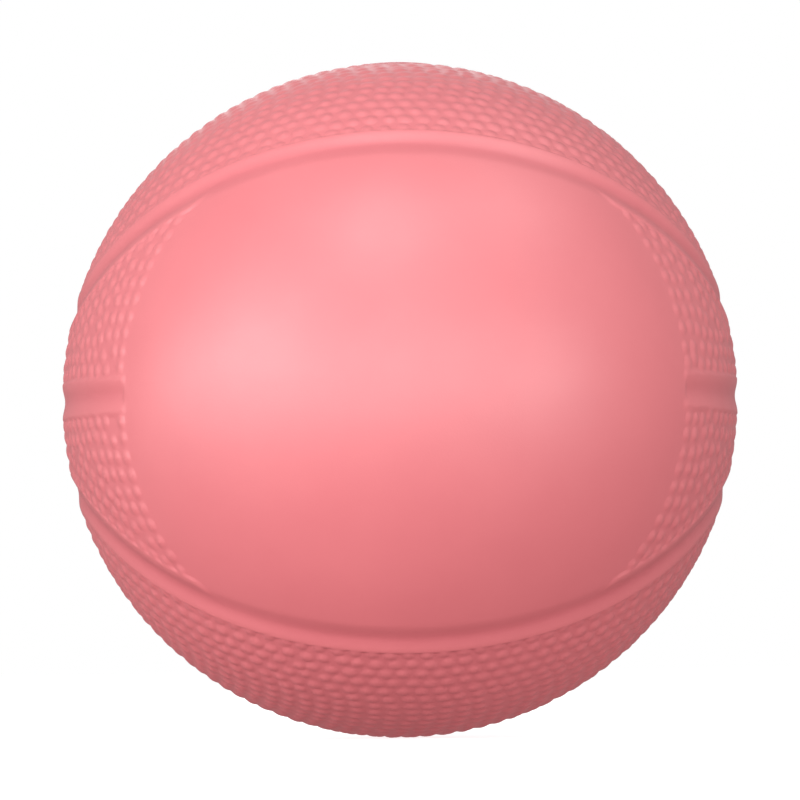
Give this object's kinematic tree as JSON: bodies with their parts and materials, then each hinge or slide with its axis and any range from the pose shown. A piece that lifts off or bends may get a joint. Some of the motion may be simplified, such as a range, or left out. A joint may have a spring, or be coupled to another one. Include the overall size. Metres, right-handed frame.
{
  "type": "exercise ball",
  "caption": "Hand-held weighted exercise ball with a grooved and pebbled soft skin, smooth pads, an inner bag of sand and an air port with a pull-out stopper.",
  "frame": {"origin": "centre of the ball", "axes": "+Z runs out through the air stopper, and the two smooth pads face -Y and +Y"},
  "size_m": [0.1268, 0.127, 0.1269],
  "materials": {
    "skin_vinyl": "soft vinyl, satin, moulded pebbles and grooves",
    "bag_vinyl": "thin soft vinyl film, natural",
    "sand": "dry washed sand",
    "sleeve_vinyl": "soft vinyl, satin",
    "ring_nylon": "moulded nylon, natural",
    "core_rubber": "soft rubber, dull",
    "filter_felt": "pressed felt",
    "plug_vinyl": "firm vinyl, satin"
  },
  "bodies": {
    "ball": {"skin": "skin_vinyl", "inner_bag": "bag_vinyl", "sand_fill": "sand", "port_sleeve": "sleeve_vinyl", "neck_ring": "ring_nylon", "valve_core": "core_rubber", "port_filter": "filter_felt"},
    "stopper": {"stopper": "plug_vinyl"}
  },
  "joints": [
    {"name": "stopper_pull", "type": "slide", "parent": "ball", "child": "stopper", "axis": [0, 0, 1], "range_m": [0, 0.02]}
  ]
}
